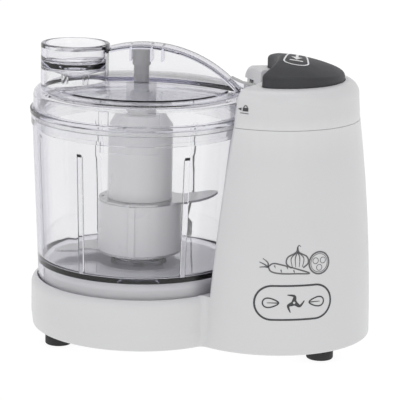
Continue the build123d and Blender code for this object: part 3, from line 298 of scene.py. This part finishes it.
# ---------------------------------------------------------------- printed graphics
PRINT_T = 0.12 * MM  # how far the print stands proud
FACE_R = 53.0 * MM  # tower behind the prints
CAP_FACE_R = 45.6 * MM
PRINT_WAY = 14.6 * MM  # centre of the prints, round the tower from its front
VEGETABLE_Z = 57.6 * MM
BADGE_Z = 36.2 * MM
LOCK_WAY, LOCK_Z = -14.6 * MM, 137.4 * MM
BUTTON_SIGN = (10.6 * MM, 3.6 * MM)  # from the tower's axis
RAY_START = 0.2  # outside the object, for rays towards the tower
RAY_HEIGHT = 0.3  # above the object, for rays down


def surface_of(node):
    mesh = NODES[node].data
    return BVHTree.FromPolygons([v.co for v in mesh.vertices], [tuple(p.vertices) for p in mesh.polygons])


def arc(x, y, radius, start, stop, steps=24, squash=1.0):
    """Points on a circle or an ellipse, in millimetres, between two angles in degrees."""
    angles = [math.radians(start + (stop - start) * i / steps) for i in range(steps + 1)]
    return [(x + radius * math.cos(a), y + squash * radius * math.sin(a)) for a in angles]


def smooth(*knots, steps=8):
    """A curve through a few points."""
    ends = [knots[0], *knots, knots[-1]]
    points = []
    for a, b, c, d in zip(ends, ends[1:], ends[2:], ends[3:]):
        for i in range(steps):
            t = i / steps
            points.append(tuple(
                0.5 * (2 * q + (r - p) * t + (2 * p - 5 * q + 4 * r - s) * t ** 2
                       + (3 * q - p - 3 * r + s) * t ** 3)
                for p, q, r, s in zip(a, b, c, d)))
    return points + [knots[-1]]


def straight(*knots, steps=6):
    """Straight runs between points, divided so that they follow a curved face."""
    points = []
    for a, b in zip(knots, knots[1:]):
        points += [tuple(p + (q - p) * i / steps for p, q in zip(a, b)) for i in range(steps)]
    return points + [knots[-1]]


def pill(half, first, last):
    """Closed outline of two round ends, at -half and half along X, whose radii may differ."""
    return (arc(half, 0, last, -90, 90) + straight((half, last), (-half, first))[1:]
            + arc(-half, 0, first, 90, 270)[1:] + straight((-half, -first), (half, -last))[1:])


def round_tower(radius):
    """Rays towards the axis of the tower, placed by the way round from its front and by height."""
    def rays(way, height):
        angle = way / radius
        outward = Vector((math.sin(angle), -math.cos(angle), 0))
        return Vector((TOWER_X, 0, height)) + outward * RAY_START, -outward
    return rays


def from_above(x, y):
    return Vector((x, y, RAY_HEIGHT)), Vector((0, 0, -1))


def print_on(name, node, body, ink, centre, rays, strokes):
    """Thin raised print: each stroke is a path in millimetres with a width at its start and end."""
    surface = surface_of(node)
    vertices, faces = [], []
    for path, first_width, last_width in strokes:
        closed = (Vector(path[0]) - Vector(path[-1])).length < 1e-6
        if closed:
            path = path[:-1]
        count = len(path)
        base = len(vertices)
        for i, point in enumerate(path):
            before = path[i - 1] if closed or i else path[0]
            after = path[(i + 1) % count] if closed or i < count - 1 else path[-1]
            along = (Vector(after) - Vector(before)).normalized()
            across = Vector((-along.y, along.x))
            half = (first_width + (last_width - first_width) * i / (count - 1)) / 2
            rim = []
            for side in (-1, 1):
                flat = Vector(point) + across * (half * side)
                start, ray = rays(centre[0] + flat.x * MM, centre[1] + flat.y * MM)
                hit, normal, _, _ = surface.ray_cast(start, ray)
                rim.append((hit + normal * PRINT_T, hit - normal * PRINT_T))
            vertices += [rim[0][0], rim[1][0], rim[1][1], rim[0][1]]
        for i in range(count if closed else count - 1):
            one, two = base + 4 * i, base + 4 * ((i + 1) % count)
            for k in range(4):
                faces.append((one + k, two + k, two + (k + 1) % 4, one + (k + 1) % 4))
        if not closed:
            faces.append(tuple(base + k for k in range(4)))
            faces.append(tuple(base + 4 * (count - 1) + k for k in (3, 2, 1, 0)))
    mesh = bpy.data.meshes.new(name)
    mesh.from_pydata(vertices, [], faces)
    mesh.materials.append(ink)
    build = bmesh.new()
    build.from_mesh(mesh)
    bmesh.ops.recalc_face_normals(build, faces=build.faces)
    build.to_mesh(mesh)
    build.free()
    piece = bpy.data.objects.new(name, mesh)
    bpy.context.scene.collection.objects.link(piece)
    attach(piece, body)


def vegetable_print():
    """Line drawing of a carrot, an onion and a halved tomato on the front of the tower."""
    thin = 0.75
    carrot = smooth((-14.0, -1.9), (-11.6, -0.2), (-7.6, -0.7), (0.6, -3.0), (8.2, -5.8), (1.0, -5.7),
                    (-8.0, -5.5), (-12.6, -4.4), (-14.0, -1.9))
    strokes = [(carrot, thin, thin)]
    for x, top, bottom in ((-10.8, -1.2, -2.6), (-7.4, -3.4, -5.1), (-4.2, -1.9, -3.2), (-0.6, -3.8, -5.2)):
        strokes.append((straight((x, top), (x + 0.5, bottom)), thin, 0.2))
    for rise, reach in ((3.4, -17.0), (1.4, -18.8), (-1.4, -18.6)):
        leaf = smooth((-14.0, -2.2), (reach + 2.6, rise * 0.5 - 1.4), (reach, rise - 1.0))
        strokes.append((leaf, 0.95, 0.35))
    stalk = 1.4
    half_onion = smooth((0, 8.6), (-0.8, 5.8), (-5.2, 3.2), (-5.9, -0.2), (-3.2, -2.6))
    for side in (-1, 1):
        strokes.append(([(stalk + side * x, y) for x, y in half_onion], thin, thin))
    for lean in (-3.4, -1.2, 1.2, 3.4):
        strokes.append((smooth((stalk, 6.0), (stalk + lean, 2.6), (stalk + lean * 0.8, -2.2)), thin, 0.25))
    strokes.append((smooth((stalk, 8.4), (stalk + 0.7, 9.4), (stalk + 1.8, 8.7)), 0.65, 0.3))
    slice_x, slice_y = 13.8, -0.6
    strokes.append((arc(slice_x, slice_y, 5.9, 0, 360, 48), thin + 0.1, thin + 0.1))
    strokes.append((arc(slice_x, slice_y, 4.9, 0, 360, 48), 0.28, 0.28))
    for turn in (30, 150, 270):
        away = math.radians(turn)
        seed_x, seed_y = slice_x + 2.5 * math.cos(away), slice_y + 2.5 * math.sin(away)
        strokes.append((arc(seed_x, seed_y, 1.6, 0, 360, 20), 0.3, 0.3))
    print_on("vegetable_print", "base_housing", "base", SOFT_INK,
             (PRINT_WAY, VEGETABLE_Z), round_tower(FACE_R), strokes)


def badge_print():
    """Plain pill outline round a sign of three swept chopping blades between two leaves."""
    half_w, half_h = 11.6, 9.2
    strokes = [(pill(half_w, half_h, half_h), 1.0, 1.0)]
    for turn in (90, 210, 330):
        root = math.radians(turn)
        tip = math.radians(turn + 40)
        strokes.append((smooth((1.2 * math.cos(root), 1.2 * math.sin(root)),
                               (3.6 * math.cos(root), 3.6 * math.sin(root)),
                               (5.6 * math.cos(tip), 5.6 * math.sin(tip))), 2.3, 0.4))
    strokes.append((arc(0, 0, 1.1, 0, 360, 20), 0.9, 0.9))
    for side in (-1, 1):
        leaf = [(side * (12.3 - 4.2 * math.cos(t)), 2.4 * math.sin(t) * (1 - 0.4 * math.cos(t)))
                for t in (math.radians(15 * i) for i in range(25))]
        strokes.append((leaf, 0.7, 0.7))
        strokes.append((straight((side * 8.4, 0), (side * 14.2, 0)), 0.6, 0.3))
    print_on("badge_print", "base_housing", "base", INK,
             (PRINT_WAY, BADGE_Z), round_tower(FACE_R), strokes)


def lock_print():
    """Closed padlock with an arrow head, on the cap beside the place where the lid locks."""
    strokes = [
        (straight((-1.6, 0), (1.6, 0)), 1.9, 1.9),
        (arc(0, 0.9, 0.95, 0, 180, 16, 1.25), 0.5, 0.5),
        (straight((-4.1, 0.1), (-2.3, 0.1)), 0.3, 1.5)]
    print_on("lock_print", "top_cap", "base", INK,
             (LOCK_WAY, LOCK_Z), round_tower(CAP_FACE_R), strokes)
    print_on("lock_line", "top_cap", "base", SOFT_INK,
             (LOCK_WAY, LOCK_Z), round_tower(CAP_FACE_R), [(straight((-2.9, -1.9), (1.8, -2.1)), 0.4, 0.4)])


def button_print():
    """Tapered pill on the button round a plain sign for pressing down."""
    frame_line = [(y, x) for x, y in pill(13.5, 6.6, 4.6)]
    strokes = [
        (frame_line, 0.85, 0.85),
        (straight((0, 12.0), (0, -2.0)), 1.5, 1.5),
        (straight((0, -1.6), (0, -8.4)), 6.0, 0.3),
        (straight((-3.6, -11.2), (3.6, -11.2)), 1.6, 1.6)]
    print_on("button_print", "pulse_button", "button", PALE_INK,
             (TOWER_X + BUTTON_SIGN[0], BUTTON_SIGN[1]), from_above, strokes)


vegetable_print()
badge_print()
lock_print()
button_print()

# ---------------------------------------------------------------- floor, light and camera
DUSK = (0.47, 0.463, 0.49)


def make_floor():
    mesh = bpy.data.meshes.new("floor")
    corners = [(x * FLOOR_HALF, y * FLOOR_HALF, 0) for x, y in ((-1, -1), (1, -1), (1, 1), (-1, 1))]
    mesh.from_pydata(corners, [], [(0, 1, 2, 3)])
    floor = bpy.data.objects.new("floor", mesh)
    bpy.context.scene.collection.objects.link(floor)
    material, tree, shader = new_material("pale_floor")
    shader.inputs["Base Color"].default_value = (FLOOR_ALBEDO, FLOOR_ALBEDO, FLOOR_ALBEDO, 1)
    shader.inputs["Roughness"].default_value = 0.9
    shader.inputs["Specular IOR Level"].default_value = 0.0
    shader.inputs["Emission Color"].default_value = (1, 1, 1, 1)
    shader.inputs["Emission Strength"].default_value = FLOOR_GLOW
    mesh.materials.append(material)


def make_world():
    """A light tent: a white skirt at eye level, four tall soft boxes and one overhead, dusk between them."""
    world = bpy.data.worlds.new("tent")
    bpy.context.scene.world = world
    world.use_nodes = True
    tree = world.node_tree
    background = tree.nodes["Background"]
    coords = tree.nodes.new("ShaderNodeTexCoord")
    parts = tree.nodes.new("ShaderNodeSeparateXYZ")
    tree.links.new(coords.outputs["Generated"], parts.inputs["Vector"])
    height = parts.outputs["Z"]

    def sums(operation, first, second):
        node = tree.nodes.new("ShaderNodeMath")
        node.operation = operation
        for socket, value in zip(node.inputs, (first, second)):
            if isinstance(value, (int, float)):
                socket.default_value = value
            else:
                tree.links.new(value, socket)
        return node.outputs[0]

    azimuth = sums("ARCTAN2", parts.outputs["Y"], parts.outputs["X"])
    four_fold = sums("COSINE", sums("MULTIPLY", sums("SUBTRACT", azimuth, math.radians(45)), 4.0), 0.0)
    nearness = spread(tree, parts.outputs["Y"], 1.0, 0.45, (-0.2, 0.4))
    across = sums("MULTIPLY", spread(tree, four_fold, 0, 1, (-0.35, 0.1)), nearness)
    upright = sums("MULTIPLY", spread(tree, height, 0, 1, (0.2, 0.3)),
                   spread(tree, height, 1, 0, (0.8, 0.88)))
    panels = sums("MULTIPLY", across, upright)
    overhead = spread(tree, height, 0, 1, (0.93, 0.96))
    skirt = spread(tree, height, 1, 0, (0.3, 0.42))
    lit = sums("MAXIMUM", skirt, sums("MAXIMUM", panels, overhead))
    colour = blend_colours(tree, lit, DUSK, (1.0, 1.0, 1.0))
    tree.links.new(colour, background.inputs["Color"])
    background.inputs["Strength"].default_value = 1.0


def soft_box(name, place, aim, size, power):
    data = bpy.data.lights.new(name, "AREA")
    data.shape = "RECTANGLE"
    data.size, data.size_y = size
    data.energy = power
    light = bpy.data.objects.new(name, data)
    light.location = place
    light.rotation_euler = (Vector(aim) - Vector(place)).to_track_quat("-Z", "Y").to_euler()
    bpy.context.scene.collection.objects.link(light)


def make_camera():
    place, roll = Vector(CAMERA_PLACE), CAMERA_ROLL
    ahead = (Vector(CAMERA_AIM) - place).normalized()
    level_right = ahead.cross(Vector((0, 0, 1))).normalized()
    level_up = level_right.cross(ahead)
    right = math.cos(roll) * level_right + math.sin(roll) * level_up
    up = math.cos(roll) * level_up - math.sin(roll) * level_right
    data = bpy.data.cameras.new("camera")
    data.sensor_width = SENSOR_W
    data.lens = LENS
    data.clip_start, data.clip_end = 0.01, 100
    camera = bpy.data.objects.new("camera", data)
    axes = Matrix((right, up, -ahead)).transposed().to_4x4()
    camera.matrix_world = Matrix.Translation(place) @ axes
    bpy.context.scene.collection.objects.link(camera)
    bpy.context.scene.camera = camera


make_floor()
make_world()
for lamp, placing in LAMPS.items():
    soft_box(lamp, *placing)
make_camera()
bpy.context.scene.view_settings.view_transform = "Standard"
